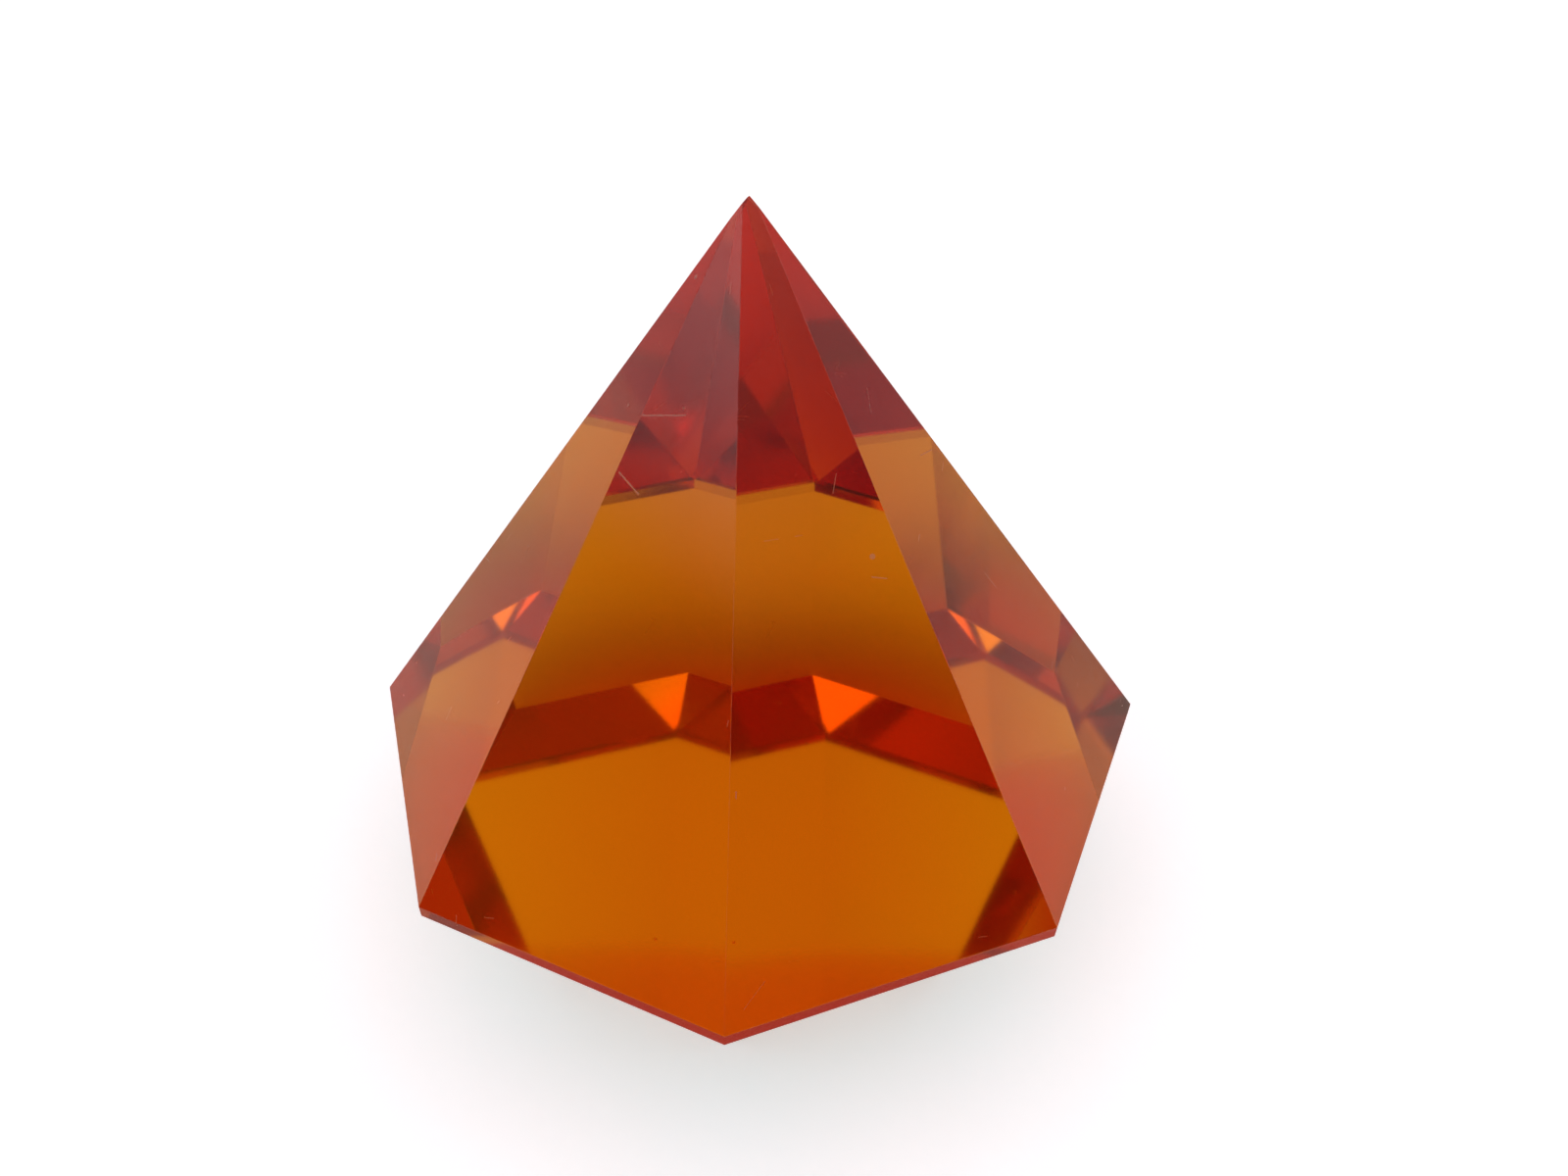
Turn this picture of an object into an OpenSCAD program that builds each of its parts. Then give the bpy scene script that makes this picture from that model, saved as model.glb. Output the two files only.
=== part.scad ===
// Octagonal cut-glass crystal: a tall pointed top, a narrow upright band at its
// widest line, and a shorter foot that tapers in to the flat base it stands on.
// One solid piece of glass. Millimetres, +Z up, origin at the centre of the base.

/* [Outline] */
// Width over opposite corners at the widest line
across_corners = 80; // [60:1:110]
// Height of the pointed top, measured above the band to where its facets would meet
point_height = 54.4; // [35:0.1:80]
// Height of the tapering foot below the band
foot_height = 19.4; // [8:0.1:32]
// Width of the flat base over opposite corners
base_across_corners = 58.4; // [36:0.2:59.8]

/* [Edges] */
// Height of the upright band ground around the widest line
band_height = 1.3; // [0.2:0.1:3]
// Width over corners of the small blunt flat at the tip
tip_across_corners = 0.8; // [0.2:0.1:4]

/* [Hidden] */

// Facets around the axis, and the turn that puts a corner, not a flat, at the front
SIDES = 8;
FACET_TURN = 360 / SIDES;
CORNER_FRONT = FACET_TURN / 2;

// Half a width over corners, turned into half the width over flats
function half_flats(over_corners) = over_corners / 2 * cos(180 / SIDES);

band_bottom = foot_height;
band_top = band_bottom + band_height;
blunt_share = tip_across_corners / across_corners;
tip_top = band_top + point_height * (1 - blunt_share);

// Right half of the section across two opposite flats, from the base up to the tip
right_side = [
    [half_flats(base_across_corners), 0],
    [half_flats(across_corners), band_bottom],
    [half_flats(across_corners), band_top],
    [half_flats(tip_across_corners), tip_top],
];
left_side = [for (i = [len(right_side) - 1 : -1 : 0]) [-right_side[i][0], right_side[i][1]]];

// A long bar with the section above: it carries one opposite pair of every facet ring
module facet_pair() {
    rotate([90, 0, 0])
        linear_extrude(height = 2 * across_corners, center = true)
            polygon(concat(right_side, left_side));
}

// The glass is what all the bars share, so every facet is one true plane
module crystal() {
    color("darkorange")
        intersection_for (k = [0 : SIDES / 2 - 1])
            rotate([0, 0, CORNER_FRONT + k * FACET_TURN])
                facet_pair();
}

crystal();
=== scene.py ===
"""An octagonal amber cut-glass crystal on a pale floor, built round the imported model's frame."""

import logging
import math
from dataclasses import dataclass, field
from enum import Enum

import bmesh
import bpy
from mathutils import Matrix, Vector


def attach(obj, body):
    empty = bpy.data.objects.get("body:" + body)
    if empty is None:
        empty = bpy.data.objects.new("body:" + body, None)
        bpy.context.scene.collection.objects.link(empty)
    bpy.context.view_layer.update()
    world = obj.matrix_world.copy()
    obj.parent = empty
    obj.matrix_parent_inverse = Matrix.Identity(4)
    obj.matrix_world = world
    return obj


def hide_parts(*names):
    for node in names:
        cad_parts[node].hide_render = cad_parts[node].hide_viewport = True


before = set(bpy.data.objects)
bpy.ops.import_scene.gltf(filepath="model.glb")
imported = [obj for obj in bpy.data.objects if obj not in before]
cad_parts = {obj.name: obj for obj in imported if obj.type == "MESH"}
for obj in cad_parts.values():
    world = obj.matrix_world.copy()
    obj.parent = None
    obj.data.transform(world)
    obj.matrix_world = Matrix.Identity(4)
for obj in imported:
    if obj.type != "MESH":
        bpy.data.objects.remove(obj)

NODE = "crystal"
BODY = "root"
MM = 0.001
LEVEL_DIGITS = 5
CUT_TOLERANCE = 1e-7
MERGE_DISTANCE = 1e-6
EDGE_MARK = "arris"
BOUNCES = 32
Colour = tuple[float, float, float, float]
Socketed = bpy.types.NodeSocket | float | tuple | Vector
BLACK: Colour = (0.0, 0.0, 0.0, 1.0)
WHITE: Colour = (1.0, 1.0, 1.0, 1.0)
UP = Vector((0.0, 0.0, 1.0))
logging.basicConfig(level=logging.INFO, format="%(name)s: %(message)s")
log = logging.getLogger("crystal")


class Ring(Enum):
    """The three rings of facets, named from the top down."""

    POINT = "point"
    BAND = "band"
    FOOT = "foot"


class Corner(Enum):
    """The eight corners of the widest line, counted round from the front one.

    A facet is named after the corner that it starts from, on the way round.
    """

    FRONT = 0
    FRONT_RIGHT = 1
    RIGHT = 2
    BACK_RIGHT = 3
    BACK = 4
    BACK_LEFT = 5
    LEFT = 6
    FRONT_LEFT = 7


@dataclass
class Proportions:
    """The main sizes of the cut glass, in metres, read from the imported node.

    Args:
        levels: the heights of the base, the band's two edges and the tip's flat.
        radii: the distance from the axis to a corner at each of those heights.
    """

    levels: list[float]
    radii: list[float]

    @classmethod
    def from_node(cls, name: str) -> "Proportions":
        """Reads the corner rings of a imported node.

        Args:
            name: the node to read.

        Returns:
            The sizes found, from the base up.
        """
        corners = [vertex.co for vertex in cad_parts[name].data.vertices]
        levels = sorted({round(corner.z, LEVEL_DIGITS) for corner in corners})
        near = 10.0**-LEVEL_DIGITS
        radii = [
            max(math.hypot(c.x, c.y) for c in corners if abs(c.z - level) < near)
            for level in levels
        ]
        return cls(levels, radii)

    @property
    def base_radius(self) -> float:
        """Axis to corner on the flat base."""
        return self.radii[0]

    @property
    def band_bottom(self) -> float:
        """Height of the band's lower edge."""
        return self.levels[1]

    @property
    def band_top(self) -> float:
        """Height of the band's upper edge."""
        return self.levels[2]

    @property
    def band_radius(self) -> float:
        """Axis to corner at the widest line."""
        return self.radii[2]

    @property
    def tip(self) -> float:
        """Height of the blunt tip."""
        return self.levels[3]

    @property
    def tip_radius(self) -> float:
        """Axis to corner on the tip's small flat."""
        return self.radii[3]


@dataclass(frozen=True)
class Facet:
    """One flat that is ground on the glass.

    Args:
        point: a point on the flat.
        normal: its outward direction.
    """

    point: Vector
    normal: Vector


@dataclass(frozen=True)
class HandGrinding:
    """How far the flats are off a perfectly even octagon, because they are ground by hand.

    Args:
        corner_turn: degrees that a corner stands further round.
        corner_reach: how much further out a corner stands, as a share of its radius.
        point_steeper: degrees by which a facet of the point is steeper.
        foot_steeper: degrees by which a facet of the foot is steeper.
    """

    corner_turn: dict[Corner, float] = field(
        default_factory=lambda: {
            Corner.FRONT: -0.5,
            Corner.BACK_RIGHT: 1.0,
            Corner.BACK: 0.5,
            Corner.BACK_LEFT: -0.5,
            Corner.LEFT: 1.0,
        }
    )
    corner_reach: dict[Corner, float] = field(
        default_factory=lambda: {
            Corner.FRONT: -0.01,
            Corner.FRONT_RIGHT: 0.005,
            Corner.RIGHT: 0.03,
            Corner.BACK_RIGHT: -0.025,
            Corner.BACK: -0.005,
            Corner.BACK_LEFT: 0.03,
            Corner.LEFT: -0.02,
        }
    )
    point_steeper: dict[Corner, float] = field(
        default_factory=lambda: {
            Corner.FRONT: -0.2,
            Corner.FRONT_RIGHT: -0.6,
            Corner.RIGHT: -0.1,
            Corner.BACK_RIGHT: 0.4,
            Corner.LEFT: 0.5,
            Corner.FRONT_LEFT: 0.1,
        }
    )
    foot_steeper: dict[Corner, float] = field(
        default_factory=lambda: {Corner.FRONT: -0.5, Corner.BACK_RIGHT: 0.6}
    )


@dataclass
class CutGlass:
    """The solid glass: a blank, ground flat by flat, with its edges broken.

    Args:
        sizes: the main sizes.
        grinding: how far each flat is off the even shape.
        arris: width of the fine bevel along every edge.
        blank: width of the block that it is ground from.
        chip_drop: how far below the tip the chip beside it reaches.
        chip_turn: the way that the chip faces, in degrees round from the front.
        chip_tilt: how far the chip faces up, in degrees.
    """

    sizes: Proportions
    grinding: HandGrinding = field(default_factory=HandGrinding)
    arris: float = 0.14 * MM
    blank: float = 100 * MM
    chip_drop: float = 1.3 * MM
    chip_turn: float = 62.0
    chip_tilt: float = 50.0

    def corner(self, which: Corner, level: float) -> Vector:
        """Places a corner of the widest line.

        Args:
            which: the corner.
            level: its height.

        Returns:
            Its place.
        """
        even = which.value * 360.0 / len(Corner)
        turn = math.radians(even + self.grinding.corner_turn.get(which, 0.0))
        reach = self.sizes.band_radius * (1.0 + self.grinding.corner_reach.get(which, 0.0))
        return Vector((math.sin(turn) * reach, -math.cos(turn) * reach, level))

    def facet(self, ring: Ring, start: Corner) -> Facet:
        """Places one flat of a ring.

        Args:
            ring: the ring that the flat belongs to.
            start: the corner that it starts from.

        Returns:
            The flat.
        """
        s = self.sizes
        flats = math.cos(math.pi / len(Corner))
        end = Corner((start.value + 1) % len(Corner))
        along = (self.corner(end, 0.0) - self.corner(start, 0.0)).normalized()
        outward = Vector((along.y, -along.x, 0.0))
        if ring is Ring.BAND:
            return Facet(self.corner(start, s.band_top), outward)
        if ring is Ring.POINT:
            level, lean = s.band_top, UP
            steep = math.atan2(s.tip - s.band_top, (s.band_radius - s.tip_radius) * flats)
            steep += math.radians(self.grinding.point_steeper.get(start, 0.0))
        else:
            level, lean = s.band_bottom, -UP
            steep = math.atan2(s.band_bottom, (s.band_radius - s.base_radius) * flats)
            steep += math.radians(self.grinding.foot_steeper.get(start, 0.0))
        return Facet(self.corner(start, level), outward * math.sin(steep) + lean * math.cos(steep))

    def grind(self, bm: bmesh.types.BMesh, flat: Facet) -> None:
        """Cuts the blank along a flat and closes the cut.

        Args:
            bm: the blank so far.
            flat: the flat to grind.
        """
        cut = bmesh.ops.bisect_plane(
            bm,
            geom=bm.verts[:] + bm.edges[:] + bm.faces[:],
            dist=CUT_TOLERANCE,
            plane_co=flat.point,
            plane_no=flat.normal,
            clear_outer=True,
        )
        edges = [e for e in cut["geom_cut"] if isinstance(e, bmesh.types.BMEdge)]
        if edges:
            bmesh.ops.contextual_create(bm, geom=edges)

    def chip(self) -> Facet:
        """Places the small chip beside the tip.

        Returns:
            The flat that knocks it off.
        """
        s = self.sizes
        slope = (s.band_radius - s.tip_radius) / (s.tip - s.band_top)
        turn, tilt = math.radians(self.chip_turn), math.radians(self.chip_tilt)
        out = Vector((math.sin(turn), -math.cos(turn), 0.0))
        point = out * (s.tip_radius + self.chip_drop * slope) + UP * (s.tip - self.chip_drop)
        return Facet(point, out * math.cos(tilt) + UP * math.sin(tilt))

    def build(self) -> bpy.types.Object:
        """Grinds the whole piece and dresses it.

        Returns:
            The glass object, at the origin.
        """
        s = self.sizes
        bm = bmesh.new()
        middle = Matrix.Translation(UP * s.tip / 2)
        block = Matrix.Diagonal((self.blank, self.blank, s.tip, 1.0))
        bmesh.ops.create_cube(bm, size=1.0, matrix=middle @ block)
        for ring in (Ring.FOOT, Ring.POINT, Ring.BAND):
            for start in Corner:
                self.grind(bm, self.facet(ring, start))
        self.grind(bm, self.chip())
        bmesh.ops.dissolve_degenerate(bm, dist=MERGE_DISTANCE, edges=bm.edges)
        mark = bm.faces.layers.float.new(EDGE_MARK)
        broken = bmesh.ops.bevel(
            bm,
            geom=bm.edges[:],
            offset=self.arris,
            offset_type="WIDTH",
            segments=2,
            profile=0.5,
            affect="EDGES",
            material=-1,
            clamp_overlap=True,
        )
        for face in broken["faces"]:
            face[mark] = 1.0
        bmesh.ops.recalc_face_normals(bm, faces=bm.faces)
        mesh = bpy.data.meshes.new("crystal_glass")
        bm.to_mesh(mesh)
        bm.free()
        glass = bpy.data.objects.new("crystal_glass", mesh)
        bpy.context.scene.collection.objects.link(glass)
        self.dress(glass)
        return glass

    def dress(self, glass: bpy.types.Object) -> None:
        """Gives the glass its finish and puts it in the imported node's place.

        Args:
            glass: the finished shape.
        """
        glass.data.materials.append(AmberGlass().material())
        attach(glass, BODY)
        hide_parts(NODE)


@dataclass(frozen=True)
class Sweep:
    """A smooth change of brightness or mixture along one measure.

    Args:
        start: where the change starts.
        end: where it ends.
        low: the value before the start.
        high: the value after the end.
    """

    start: float
    end: float
    low: float
    high: float


class Wiring:
    """Adds nodes to one tree and links them, so that a shader reads from top to bottom.

    Args:
        tree: the nodes to add to.
    """

    def __init__(self, tree: bpy.types.NodeTree) -> None:
        """Keeps the tree."""
        self.tree = tree

    def feed(self, socket: bpy.types.NodeSocket, value: Socketed) -> None:
        """Links a socket, or sets its own value when the value is plain.

        Args:
            socket: the input to feed.
            value: another node's output, or a plain value.
        """
        if isinstance(value, bpy.types.NodeSocket):
            self.tree.links.new(value, socket)
        else:
            socket.default_value = value

    def node(
        self, kind: str, inputs: dict[str, Socketed] | None = None, **settings: str
    ) -> bpy.types.Node:
        """Adds one node.

        Args:
            kind: the node's type.
            inputs: what each named input gets.
            settings: the node's own options.

        Returns:
            The node.
        """
        made = self.tree.nodes.new(kind)
        for name, value in settings.items():
            setattr(made, name, value)
        for name, value in (inputs or {}).items():
            self.feed(made.inputs[name], value)
        return made

    def math(self, operation: str, *values: Socketed) -> bpy.types.NodeSocket:
        """Adds one step of arithmetic on plain numbers.

        Args:
            operation: what to do.
            values: the numbers to do it with.

        Returns:
            The socket that carries the result.
        """
        made = self.node("ShaderNodeMath", operation=operation)
        for socket, value in zip(made.inputs, values):
            self.feed(socket, value)
        return made.outputs["Value"]

    def vector(self, operation: str, *values: Socketed) -> bpy.types.Node:
        """Adds one step of arithmetic on vectors.

        Args:
            operation: what to do.
            values: the vectors to do it with.

        Returns:
            The node, as its answer is a vector or a number.
        """
        made = self.node("ShaderNodeVectorMath", operation=operation)
        for socket, value in zip(made.inputs, values):
            self.feed(socket, value)
        return made

    def scaled(self, value: Socketed, share: Socketed) -> bpy.types.NodeSocket:
        """Scales a vector or a colour.

        Args:
            value: the vector or colour.
            share: how much of it is kept.

        Returns:
            The socket that carries the result.
        """
        inputs = {"Vector": value, "Scale": share}
        return self.node("ShaderNodeVectorMath", inputs, operation="SCALE").outputs["Vector"]

    def mix(self, factor: Socketed, before: Socketed, after: Socketed) -> bpy.types.NodeSocket:
        """Mixes two colours.

        Args:
            factor: 0 for the first and 1 for the second.
            before: the first.
            after: the second.

        Returns:
            The socket that carries the mix.
        """
        made = self.tree.nodes.new("ShaderNodeMix")
        made.data_type = "RGBA"
        colours = [socket for socket in made.inputs if socket.type == "RGBA"]
        self.feed(made.inputs["Factor"], factor)
        self.feed(colours[0], before)
        self.feed(colours[1], after)
        return [socket for socket in made.outputs if socket.type == "RGBA"][0]

    def swept(self, value: bpy.types.NodeSocket, sweep: Sweep) -> bpy.types.NodeSocket:
        """Adds a smooth change.

        Args:
            value: what the change goes along.
            sweep: the change.

        Returns:
            The socket that carries it.
        """
        limits = {
            "Value": value,
            "From Min": sweep.start,
            "From Max": sweep.end,
            "To Min": sweep.low,
            "To Max": sweep.high,
        }
        made = self.node("ShaderNodeMapRange", limits, interpolation_type="SMOOTHSTEP")
        return made.outputs["Result"]


class Effect:
    """A shader node group with named inputs that gives one mask, built once for all its uses.

    Args:
        name: the group's name.
    """

    def __init__(self, name: str) -> None:
        """Makes the empty group."""
        self.group = bpy.data.node_groups.new(name, "ShaderNodeTree")
        self.wiring = Wiring(self.group)
        self.sockets = self.group.interface

    def takes(self, name: str, value: Socketed) -> None:
        """Gives the group an input.

        Args:
            name: the input's name.
            value: what it is where a material gives no value of its own.
        """
        kind = "NodeSocketVector" if isinstance(value, tuple) else "NodeSocketFloat"
        socket = self.sockets.new_socket(name=name, in_out="INPUT", socket_type=kind)
        socket.default_value = value

    def gives(self, value: bpy.types.NodeSocket) -> None:
        """Gives the group its output, a mask."""
        self.sockets.new_socket(name="Mask", in_out="OUTPUT", socket_type="NodeSocketFloat")
        self.wiring.node("NodeGroupOutput", {"Mask": value})

    def used(self, wiring: Wiring, inputs: dict[str, Socketed]) -> bpy.types.NodeSocket:
        """Adds the group to a tree.

        Args:
            wiring: the tree to add it to.
            inputs: what each named input gets.

        Returns:
            The mask that it gives.
        """
        made = wiring.tree.nodes.new("ShaderNodeGroup")
        made.node_tree = self.group
        for name, value in inputs.items():
            wiring.feed(made.inputs[name], value)
        return made.outputs["Mask"]


def scratch_effect() -> Effect:
    """Makes the effect for one straight hairline scratch between two places.

    Returns:
        The effect.
    """
    effect = Effect("scratch_line")
    effect.takes("Place", (0.0, 0.0, 0.0))
    effect.takes("Start", (0.0, 0.0, 0.0))
    effect.takes("Span", (1.0, 0.0, 0.0))
    effect.takes("Width", 0.07 * MM)
    w = effect.wiring
    given = w.node("NodeGroupInput").outputs
    away = w.vector("SUBTRACT", given["Place"], given["Start"]).outputs["Vector"]
    ahead = w.vector("DOT_PRODUCT", away, given["Span"]).outputs["Value"]
    whole = w.vector("DOT_PRODUCT", given["Span"], given["Span"]).outputs["Value"]
    part = w.math("MINIMUM", w.math("MAXIMUM", w.math("DIVIDE", ahead, whole), 0.0), 1.0)
    off = w.vector("SUBTRACT", away, w.scaled(given["Span"], part)).outputs["Vector"]
    distance = w.vector("LENGTH", off).outputs["Value"]
    effect.gives(w.math("LESS_THAN", distance, given["Width"]))
    return effect


def hairline_effect() -> Effect:
    """Makes the effect for fine scattered scratches, short and at all angles.

    Returns:
        The effect.
    """
    effect = Effect("scattered_hairlines")
    effect.takes("Place", (0.0, 0.0, 0.0))
    effect.takes("Spacing", 90.0)
    effect.takes("Width", 0.002)
    effect.takes("Gaps", 0.68)
    w = effect.wiring
    given = w.node("NodeGroupInput").outputs
    taken = {"Vector": given["Place"], "Scale": given["Spacing"]}
    cells = w.node("ShaderNodeTexVoronoi", taken, feature="DISTANCE_TO_EDGE")
    line = w.math("LESS_THAN", cells.outputs["Distance"], given["Width"])
    patches = w.node("ShaderNodeTexNoise", {"Vector": given["Place"], "Scale": 260.0, "Detail": 1.0})
    broken = w.math("GREATER_THAN", patches.outputs["Fac"], given["Gaps"])
    effect.gives(w.math("MULTIPLY", line, broken))
    return effect


def speck_effect() -> Effect:
    """Makes the effect for a few small specks, such as dust and pinhead nicks.

    Returns:
        The effect.
    """
    effect = Effect("specks")
    effect.takes("Place", (0.0, 0.0, 0.0))
    effect.takes("Spacing", 200.0)
    effect.takes("Size", 0.05)
    effect.takes("Share", 0.15)
    w = effect.wiring
    given = w.node("NodeGroupInput").outputs
    cells = w.node("ShaderNodeTexVoronoi", {"Vector": given["Place"], "Scale": given["Spacing"]})
    dot = w.math("LESS_THAN", cells.outputs["Distance"], given["Size"])
    draw = w.node("ShaderNodeSeparateColor", {"Color": cells.outputs["Color"]}).outputs["Red"]
    effect.gives(w.math("MULTIPLY", dot, w.math("LESS_THAN", draw, given["Share"])))
    return effect


def worn_edge_effect() -> Effect:
    """Makes the effect for edges that are rubbed dull here and there.

    Returns:
        The effect.
    """
    effect = Effect("worn_edge")
    effect.takes("Place", (0.0, 0.0, 0.0))
    effect.takes("Edge", 0.0)
    w = effect.wiring
    given = w.node("NodeGroupInput").outputs
    rubbed = w.node("ShaderNodeTexNoise", {"Vector": given["Place"], "Scale": 400.0, "Detail": 3.0})
    patchy = w.swept(rubbed.outputs["Fac"], Sweep(start=0.35, end=0.65, low=0.35, high=1.0))
    effect.gives(w.math("MULTIPLY", given["Edge"], patchy))
    return effect


def grain_effect() -> Effect:
    """Makes the effect for the faint fibres of card.

    Returns:
        The effect.
    """
    effect = Effect("card_grain")
    effect.takes("Place", (0.0, 0.0, 0.0))
    w = effect.wiring
    given = w.node("NodeGroupInput").outputs
    fibres = w.node("ShaderNodeTexNoise", {"Vector": given["Place"], "Scale": 900.0, "Detail": 4.0})
    effect.gives(fibres.outputs["Fac"])
    return effect


@dataclass(frozen=True)
class Scratch:
    """A straight scratch on one facet, in millimetres.

    Args:
        start: where it starts.
        span: how far it runs.
    """

    start: tuple[float, float, float]
    span: tuple[float, float, float]

    def place(self) -> Vector:
        """Gives the start in metres."""
        return Vector(self.start) * MM

    def run(self) -> Vector:
        """Gives the span in metres."""
        return Vector(self.span) * MM


@dataclass(frozen=True)
class AmberGlass:
    """Clear glass coloured in the melt, so that thin parts are amber and a long way through is red.

    Args:
        ior: refractive index of the glass.
        density: how fast the most absorbed colour dies away, per metre.
        passed: share of that density which each colour escapes.
        polish: how far the polished facets are from a perfect mirror.
        scratched: how dull a scratch is.
        rubbed: how dull a worn edge is.
        edge_haze: how pale a worn edge is.
        haze_roughness: how soft the pale shine on a scratch or a worn edge is.
        haze_ior: how strong that shine is.
        crushed: the colour of the crushed glass in a scratch.
        scratches: two longer scratches and two small nicks.
    """

    ior: float = 1.536
    density: float = 110.0
    passed: Colour = (0.966, 0.795, 0.0, 1.0)
    polish: float = 0.06
    scratched: float = 0.45
    rubbed: float = 0.12
    edge_haze: float = 0.5
    haze_roughness: float = 0.5
    haze_ior: float = 2.2
    crushed: Colour = (0.95, 0.9, 0.86, 1.0)
    scratches: tuple[Scratch, ...] = (
        Scratch((-8.5, -8.0, 59.5), (3.7, -1.0, 0.7)),
        Scratch((-10.3, -10.2, 55.4), (1.7, -1.5, -1.1)),
        Scratch((-5.0, -8.6, 60.6), (0.1, 0.0, 0.0)),
        Scratch((0.1, -27.7, 36.7), (0.0, -0.3, -0.4)),
    )

    def material(self) -> bpy.types.Material:
        """Makes the shader.

        Returns:
            The finished material.
        """
        made = bpy.data.materials.new("amber_glass")
        made.use_nodes = True
        w = Wiring(made.node_tree)
        shader = made.node_tree.nodes["Principled BSDF"]
        w.feed(shader.inputs["IOR"], self.ior)
        w.feed(shader.inputs["Transmission Weight"], 1.0)
        w.feed(shader.inputs["Coat Roughness"], self.haze_roughness)
        w.feed(shader.inputs["Coat IOR"], self.haze_ior)
        absorb = w.node("ShaderNodeVolumeAbsorption", {"Color": self.passed, "Density": self.density})
        w.feed(made.node_tree.nodes["Material Output"].inputs["Volume"], absorb.outputs["Volume"])
        place = w.node("ShaderNodeTexCoord").outputs["Object"]
        edge = w.node("ShaderNodeAttribute", attribute_name=EDGE_MARK).outputs["Fac"]
        marks = hairline_effect().used(w, {"Place": place})
        marks = w.math("MAXIMUM", marks, speck_effect().used(w, {"Place": place}))
        line = scratch_effect()
        for scratch in self.scratches:
            given = {"Place": place, "Start": scratch.place(), "Span": scratch.run()}
            marks = w.math("MAXIMUM", marks, line.used(w, given))
        worn = worn_edge_effect().used(w, {"Place": place, "Edge": edge})
        dull = w.math("MULTIPLY_ADD", marks, self.scratched, self.polish)
        dull = w.math("MULTIPLY_ADD", worn, self.rubbed, dull)
        w.feed(shader.inputs["Roughness"], dull)
        haze = w.math("MAXIMUM", marks, w.math("MULTIPLY", worn, self.edge_haze))
        w.feed(shader.inputs["Coat Weight"], haze)
        w.feed(shader.inputs["Base Color"], w.mix(marks, WHITE, self.crushed))
        return made


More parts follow.
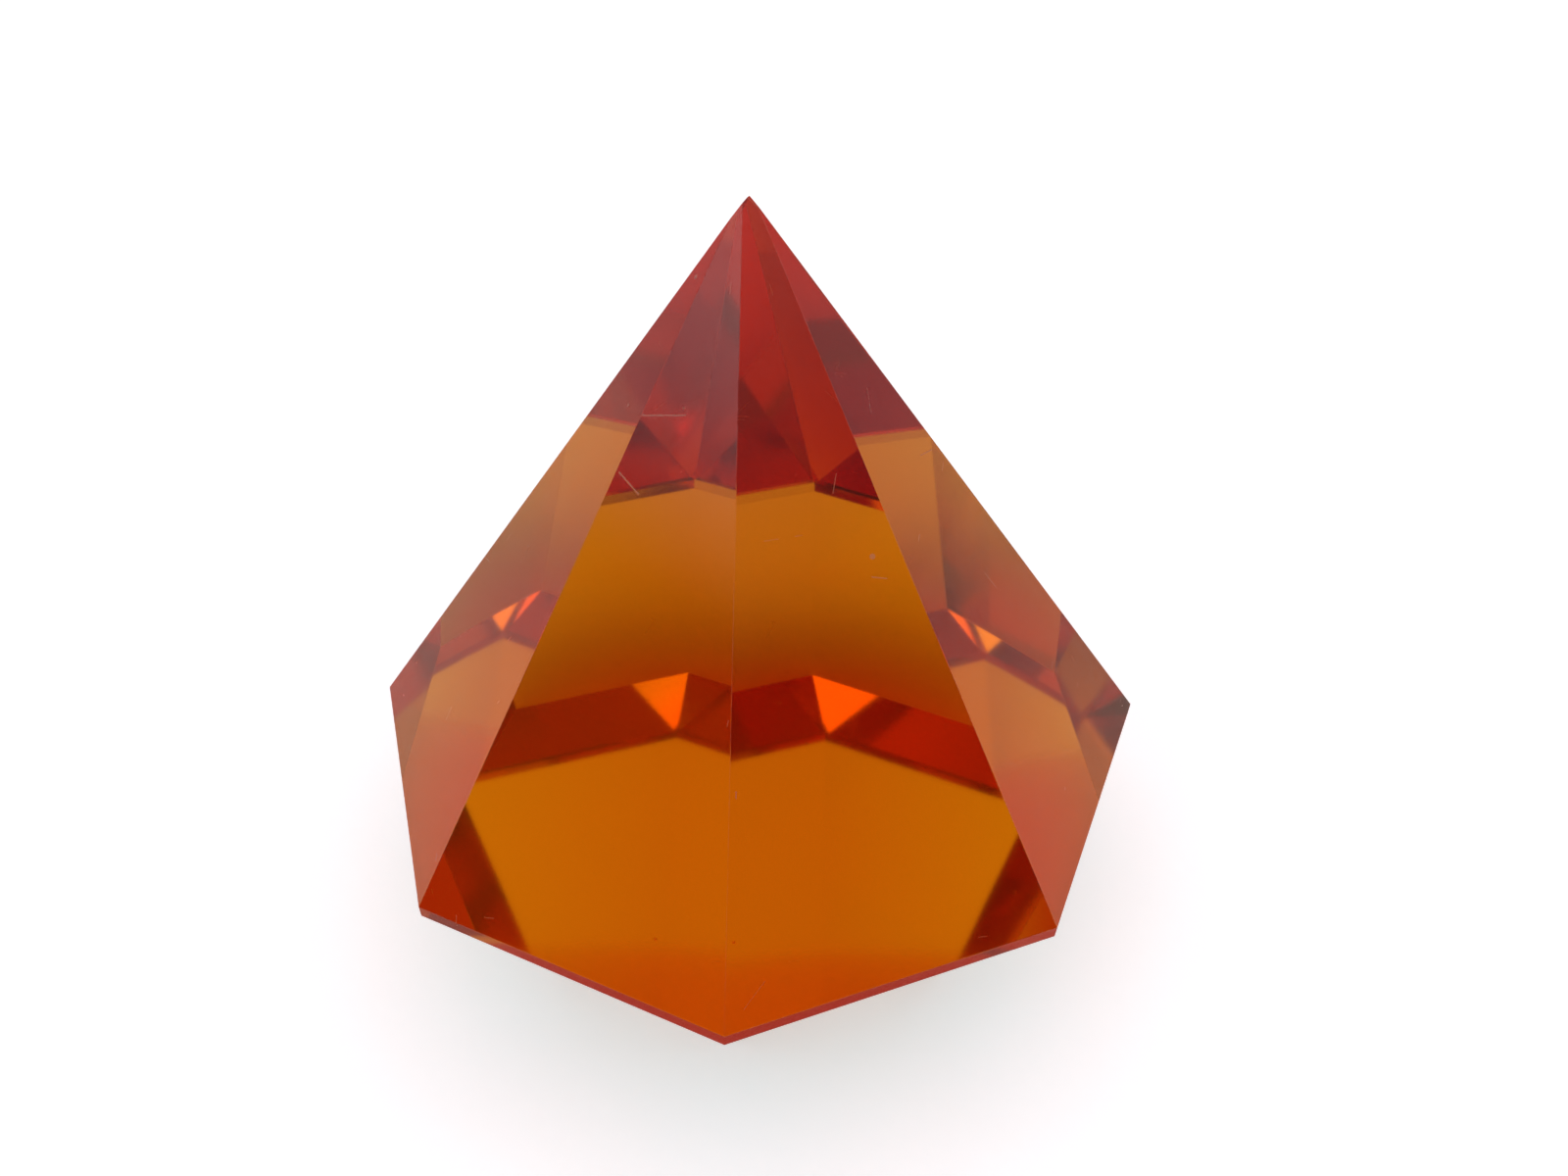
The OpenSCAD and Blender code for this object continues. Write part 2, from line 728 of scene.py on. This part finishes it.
@dataclass(frozen=True)
class PaleCard:
    """The card that the glass stands on: pale to the eye; where it shows through the glass, its
    colour is painted shade and painted amber light.

    Args:
        pale: its own colour.
        lift: the soft light that lifts it, for the eye only.
        beside: painted shade, as its colour through the glass, beside and behind it.
        before: painted dark red shade, as its colour through the glass, in front of it.
        painted_glow: painted shadow and painted amber light, as its colour through the glass where
            only light from the glass falls on it.
        painted_glow_left: the same painted shadow and amber light, towards the left.
        painted_deep_glow: the same painted shadow and amber light, for what shows only after a bounce
            inside the glass.
        painted_ember: a painted glow that the card gives off, for the light that the glass throws
            there.
        fade: how the painted amber glow gives way to the card, from the axis outwards.
        deep_fade: how the painted deep amber glow gives way to the card.
        ember_fade: how that painted glow dies away, from the axis outwards.
        sideways: how the left painted amber glow gives way to the painted amber glow.
        nearer: how the painted red shade in front takes over from the painted shade beside, from the
            glass towards the viewer.
        corner: how the painted shade in front brightens towards its left corner, by X over Y.
        corner_near: the nearest Y that this takes, so that it never divides by zero.
        grain: how much the fibres of the card show.
        roughness: how dull the card is.
        shine: how much it reflects.
    """

    pale: Colour = (0.8, 0.9, 0.95, 1.0)
    lift: Colour = (0.4, 0.48, 0.5, 1.0)
    beside: Colour = (0.78, 0.82, 0.72, 1.0)
    before: Colour = (0.8, 0.2, 0.05, 1.0)
    painted_glow: Colour = (0.85, 0.25, 0.05, 1.0)
    painted_glow_left: Colour = (0.85, 0.46, 0.08, 1.0)
    painted_deep_glow: Colour = (0.9, 0.14, 0.05, 1.0)
    painted_ember: Colour = (0.14, 0.025, 0.0, 1.0)
    fade: Sweep = Sweep(20 * MM, 44 * MM, 0.0, 1.0)
    deep_fade: Sweep = Sweep(32 * MM, 60 * MM, 0.0, 1.0)
    ember_fade: Sweep = Sweep(22 * MM, 36 * MM, 0.0, 1.0)
    sideways: Sweep = Sweep(-24 * MM, 0.0, 0.0, 1.0)
    nearer: Sweep = Sweep(-85 * MM, -35 * MM, 1.0, 0.0)
    corner: Sweep = Sweep(0.3, 0.6, 0.6, 1.0)
    corner_near: float = -1.0 * MM
    grain: float = 0.05
    roughness: float = 0.9
    shine: float = 0.1

    def material(self) -> bpy.types.Material:
        """Makes the shader.

        Returns:
            The finished material.
        """
        made = bpy.data.materials.new("pale_card")
        made.use_nodes = True
        w = Wiring(made.node_tree)
        shader = made.node_tree.nodes["Principled BSDF"]
        place = w.node("ShaderNodeTexCoord").outputs["Object"]
        part = w.node("ShaderNodeSeparateXYZ", {"Vector": place}).outputs
        radius = w.vector("LENGTH", place).outputs["Value"]
        path = w.node("ShaderNodeLightPath").outputs
        eye = path["Is Camera Ray"]
        slant = w.math("DIVIDE", part["X"], w.math("MINIMUM", part["Y"], self.corner_near))
        # Rays from the glass see painted shade instead of the pale card: dark red in front, darker
        # away from the left corner, and shaded beside and behind.
        before = w.mix(w.swept(slant, self.corner), BLACK, self.before)
        round_it = w.mix(w.swept(part["Y"], self.nearer), self.beside, before)
        # Painted amber light and shadow on the card under the glass, and the same after a bounce
        # inside the glass.
        painted_glow = w.mix(w.swept(part["X"], self.sideways), self.painted_glow_left, self.painted_glow)
        inner = w.mix(w.swept(radius, self.fade), painted_glow, round_it)
        deep = w.mix(w.swept(radius, self.deep_fade), self.painted_deep_glow, round_it)
        through = w.mix(w.math("MINIMUM", path["Glossy Depth"], 1.0), inner, deep)
        # A painted glow given off by the card near the axis, for rays from the glass only, stands in
        # for the light that the glass throws.
        painted_ember = w.mix(w.swept(radius, self.ember_fade), self.painted_ember, BLACK)
        fibres = grain_effect().used(w, {"Place": place})
        shade = w.math("MULTIPLY_ADD", fibres, self.grain, 1.0 - self.grain / 2)
        # The eye sees the pale card with its grain; rays from the glass see the painted shade and
        # painted amber light.
        w.feed(shader.inputs["Base Color"], w.mix(eye, through, w.scaled(self.pale[:3], shade)))
        w.feed(shader.inputs["Emission Color"], w.mix(eye, painted_ember, self.lift))
        w.feed(shader.inputs["Emission Strength"], 1.0)
        w.feed(shader.inputs["Roughness"], self.roughness)
        w.feed(shader.inputs["Specular IOR Level"], self.shine)
        return made


@dataclass(frozen=True)
class Shot:
    """Where the camera stands. Its lengths are in corner radii of the widest line.

    Args:
        azimuth: degrees round from the front.
        elevation: degrees up.
        roll: degrees that it is tilted.
        aim_up: how far above the band it aims.
        aim_right: how far to the right of the axis it aims.
        away: how far it stands from there.
        lens: focal length in millimetres.
        sensor: sensor width in millimetres.
    """

    azimuth: float = 0.47
    elevation: float = 38.89
    roll: float = 1.33
    aim_up: float = 0.3695
    aim_right: float = 0.083
    away: float = 2.767
    lens: float = 25.33
    sensor: float = 36.0


@dataclass
class Studio:
    """The pale floor, the soft surroundings and the camera.

    The surroundings change along the parts of a unit direction: X to the right, Y away
    from the viewer and Z up.

    Args:
        sizes: the main sizes of the glass, which the camera is placed by.
        shot: where the camera stands.
        floor_reach: how far the floor reaches each way.
        floor_gap: how far the floor lies under the glass.
        behind_grey: brightness behind the glass, along Z.
        front_grey: brightness at the viewer's side, along Z.
        window_side: where the window on the left is, along X.
        window_top: where it is, along Z, and how bright.
        hearth_top: where the low, warm part of the viewer's side ends, along Z.
        hearth_side: how its left colour gives way to its right one, along X.
        turn: how the viewer's side gives way to the back, along Y.
        ring: the bright ring round the lamp, along Z.
        lamp: the lamp overhead, along Z.
        screen_foot: the lower edge of the screen behind, along Z.
        screen_top: its upper edge, along Z.
        screen_side: its sides, along Y.
        hearth_left_colour: the warm colour on the left.
        hearth_right_colour: the warm colour on the right.
        screen_colour: the screen's colour.
        lamp_colour: the lamp's colour.
    """

    sizes: Proportions
    shot: Shot = Shot()
    floor_reach: float = 3.0
    floor_gap: float = 0.03 * MM
    behind_grey: Sweep = Sweep(0.1, 0.85, 0.42, 0.76)
    front_grey: Sweep = Sweep(0.38, 0.98, 0.02, 0.9)
    window_side: Sweep = Sweep(-0.62, -0.4, 1.0, 0.0)
    window_top: Sweep = Sweep(0.38, 0.64, 0.0, 1.5)
    hearth_top: Sweep = Sweep(0.3, 0.42, 1.0, 0.0)
    hearth_side: Sweep = Sweep(-0.4, 0.2, 0.0, 1.0)
    turn: Sweep = Sweep(-0.65, -0.05, 0.0, 1.0)
    ring: Sweep = Sweep(0.84, 0.93, 0.0, 0.8)
    lamp: Sweep = Sweep(0.92, 0.955, 0.0, 1.0)
    screen_foot: Sweep = Sweep(0.15, 0.3, 0.0, 1.0)
    screen_top: Sweep = Sweep(0.58, 0.67, 1.0, 0.0)
    screen_side: Sweep = Sweep(0.54, 0.63, 0.0, 1.0)
    hearth_left_colour: Colour = (0.6, 0.22, 0.02, 1.0)
    hearth_right_colour: Colour = (0.28, 0.09, 0.02, 1.0)
    screen_colour: Colour = (0.45, 0.04, 0.03, 1.0)
    lamp_colour: Colour = (1.95, 0.72, 0.6, 1.0)

    def floor(self) -> bpy.types.Object:
        """Lays the floor a hair under the glass.

        Returns:
            The floor.
        """
        bm = bmesh.new()
        bmesh.ops.create_grid(bm, x_segments=1, y_segments=1, size=self.floor_reach)
        bmesh.ops.translate(bm, verts=bm.verts, vec=-UP * self.floor_gap)
        mesh = bpy.data.meshes.new("floor")
        bm.to_mesh(mesh)
        bm.free()
        floor = bpy.data.objects.new("floor", mesh)
        bpy.context.scene.collection.objects.link(floor)
        mesh.materials.append(PaleCard().material())
        return floor

    def world(self) -> None:
        """Sets up the surroundings: pale, with a red screen behind and a warm lamp overhead."""
        world = bpy.data.worlds.new("studio")
        bpy.context.scene.world = world
        world.use_nodes = True
        w = Wiring(world.node_tree)
        way = w.node("ShaderNodeTexCoord").outputs["Generated"]
        part = w.node("ShaderNodeSeparateXYZ", {"Vector": way}).outputs
        x, y, z = part["X"], part["Y"], part["Z"]
        window = w.math("MULTIPLY", w.swept(x, self.window_side), w.swept(z, self.window_top))
        front = w.math("ADD", window, w.swept(z, self.front_grey))
        sideways = w.swept(x, self.hearth_side)
        hearth = w.mix(sideways, self.hearth_left_colour, self.hearth_right_colour)
        front = w.mix(w.swept(z, self.hearth_top), front, hearth)
        sky = w.mix(w.swept(y, self.turn), front, w.swept(z, self.behind_grey))
        screen = w.math("MULTIPLY", w.swept(z, self.screen_top), w.swept(y, self.screen_side))
        screen = w.math("MULTIPLY", screen, w.swept(z, self.screen_foot))
        sky = w.mix(screen, sky, self.screen_colour)
        sky = w.vector("ADD", sky, w.swept(z, self.ring)).outputs["Vector"]
        sky = w.mix(w.swept(z, self.lamp), sky, self.lamp_colour)
        eye = w.node("ShaderNodeLightPath").outputs["Is Camera Ray"]
        background = world.node_tree.nodes["Background"]
        w.feed(background.inputs["Color"], w.mix(eye, sky, WHITE))
        w.feed(background.inputs["Strength"], 1.0)

    def camera(self) -> bpy.types.Object:
        """Stands the camera at the viewer's place.

        Returns:
            The camera.
        """
        shot, unit = self.shot, self.sizes.band_radius
        azimuth, elevation = math.radians(shot.azimuth), math.radians(shot.elevation)
        roll = math.radians(shot.roll)
        level = Vector((math.sin(azimuth), -math.cos(azimuth), 0.0))
        back = level * math.cos(elevation) + UP * math.sin(elevation)
        right = Vector((math.cos(azimuth), math.sin(azimuth), 0.0))
        tilted = right * math.cos(roll) + back.cross(right) * math.sin(roll)
        turned = Matrix((tilted, back.cross(tilted), back)).transposed().to_4x4()
        aim = UP * (self.sizes.band_top + shot.aim_up * unit) + right * shot.aim_right * unit
        data = bpy.data.cameras.new("camera")
        data.lens = shot.lens
        data.sensor_width = shot.sensor
        data.clip_start = 1 * MM
        data.clip_end = 20.0
        camera = bpy.data.objects.new("camera", data)
        bpy.context.scene.collection.objects.link(camera)
        camera.matrix_world = Matrix.Translation(aim + back * shot.away * unit) @ turned
        bpy.context.scene.camera = camera
        return camera


def main() -> None:
    """Builds the glass and its studio, and reports each piece."""
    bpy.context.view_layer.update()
    sizes = Proportions.from_node(NODE)
    log.info("levels %s radii %s", sizes.levels, sizes.radii)
    glass = CutGlass(sizes).build()
    log.info("glass: %d faces", len(glass.data.polygons))
    studio = Studio(sizes)
    log.info("floor: %s", studio.floor().name)
    studio.world()
    log.info("camera: %s", studio.camera().name)
    scene = bpy.context.scene
    scene.view_settings.view_transform = "Standard"
    scene.cycles.sampling_pattern = "TABULATED_SOBOL"
    scene.cycles.max_bounces = BOUNCES
    scene.cycles.glossy_bounces = BOUNCES
    scene.cycles.transmission_bounces = BOUNCES


if __name__ == "__main__":
    main()
